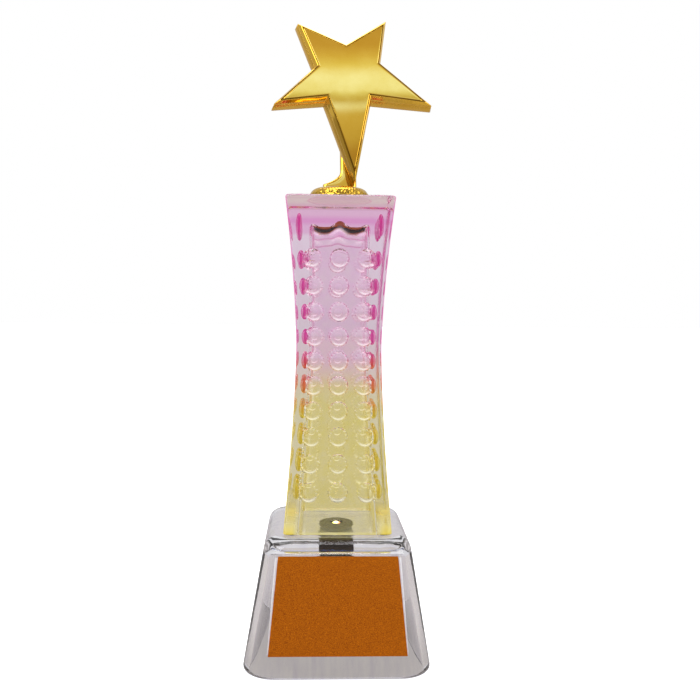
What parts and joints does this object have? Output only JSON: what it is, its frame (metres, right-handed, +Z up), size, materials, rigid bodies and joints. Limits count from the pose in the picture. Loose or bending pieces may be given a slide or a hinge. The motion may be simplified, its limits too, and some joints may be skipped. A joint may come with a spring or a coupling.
{
  "type": "column trophy",
  "caption": "Clear hourglass column with a dimpled hollow on a clear hollow base with a label plate, lit from below and topped by a gold star on a round foot.",
  "frame": {"origin": "on the ground, under the centre of the whole outline", "axes": "+Z up, the label plate and the star's front face -Y, +X to the viewer's right"},
  "size_m": [0.0904, 0.0862, 0.3123],
  "materials": {
    "clear_base": "polished clear moulding",
    "tinted_column": "polished clear moulding, pink above fading to yellow below",
    "gold": "bright gold plating",
    "label": "satin copper-orange with a fine grain",
    "tape": "white adhesive film",
    "glue": "clear set glue",
    "module_plastic": "black moulded plastic",
    "foam": "adhesive foam",
    "lamp": "milky clear resin, lit",
    "board": "green circuit board",
    "nickel": "bright nickel plating",
    "resistor": "ceramic chip",
    "seal": "soft black rubber"
  },
  "bodies": {
    "trophy": {"base_shell": "clear_base", "label_tape": "tape", "label_plate": "label", "column_block": "tinted_column", "column_glue": "glue", "topper_foot": "gold", "foot_glue": "glue", "star_front": "gold", "star_back": "gold", "star_stem": "gold", "led_housing": "module_plastic", "module_tape": "foam", "led_bulb": "lamp", "led_board": "board", "led_lead_positive": "nickel", "led_lead_negative": "nickel", "chip_resistor": "resistor", "contact_spring": "nickel", "coin_cell": "nickel"},
    "cap": {"twist_cap": "module_plastic", "cap_contact": "nickel", "cap_seal": "seal"}
  },
  "joints": [
    {"name": "cap_twist", "type": "hinge", "parent": "trophy", "child": "cap", "pos_m": [-0.00209, 0, 0.05], "axis": [0, 0, 1], "range_deg": [0, 30]}
  ]
}
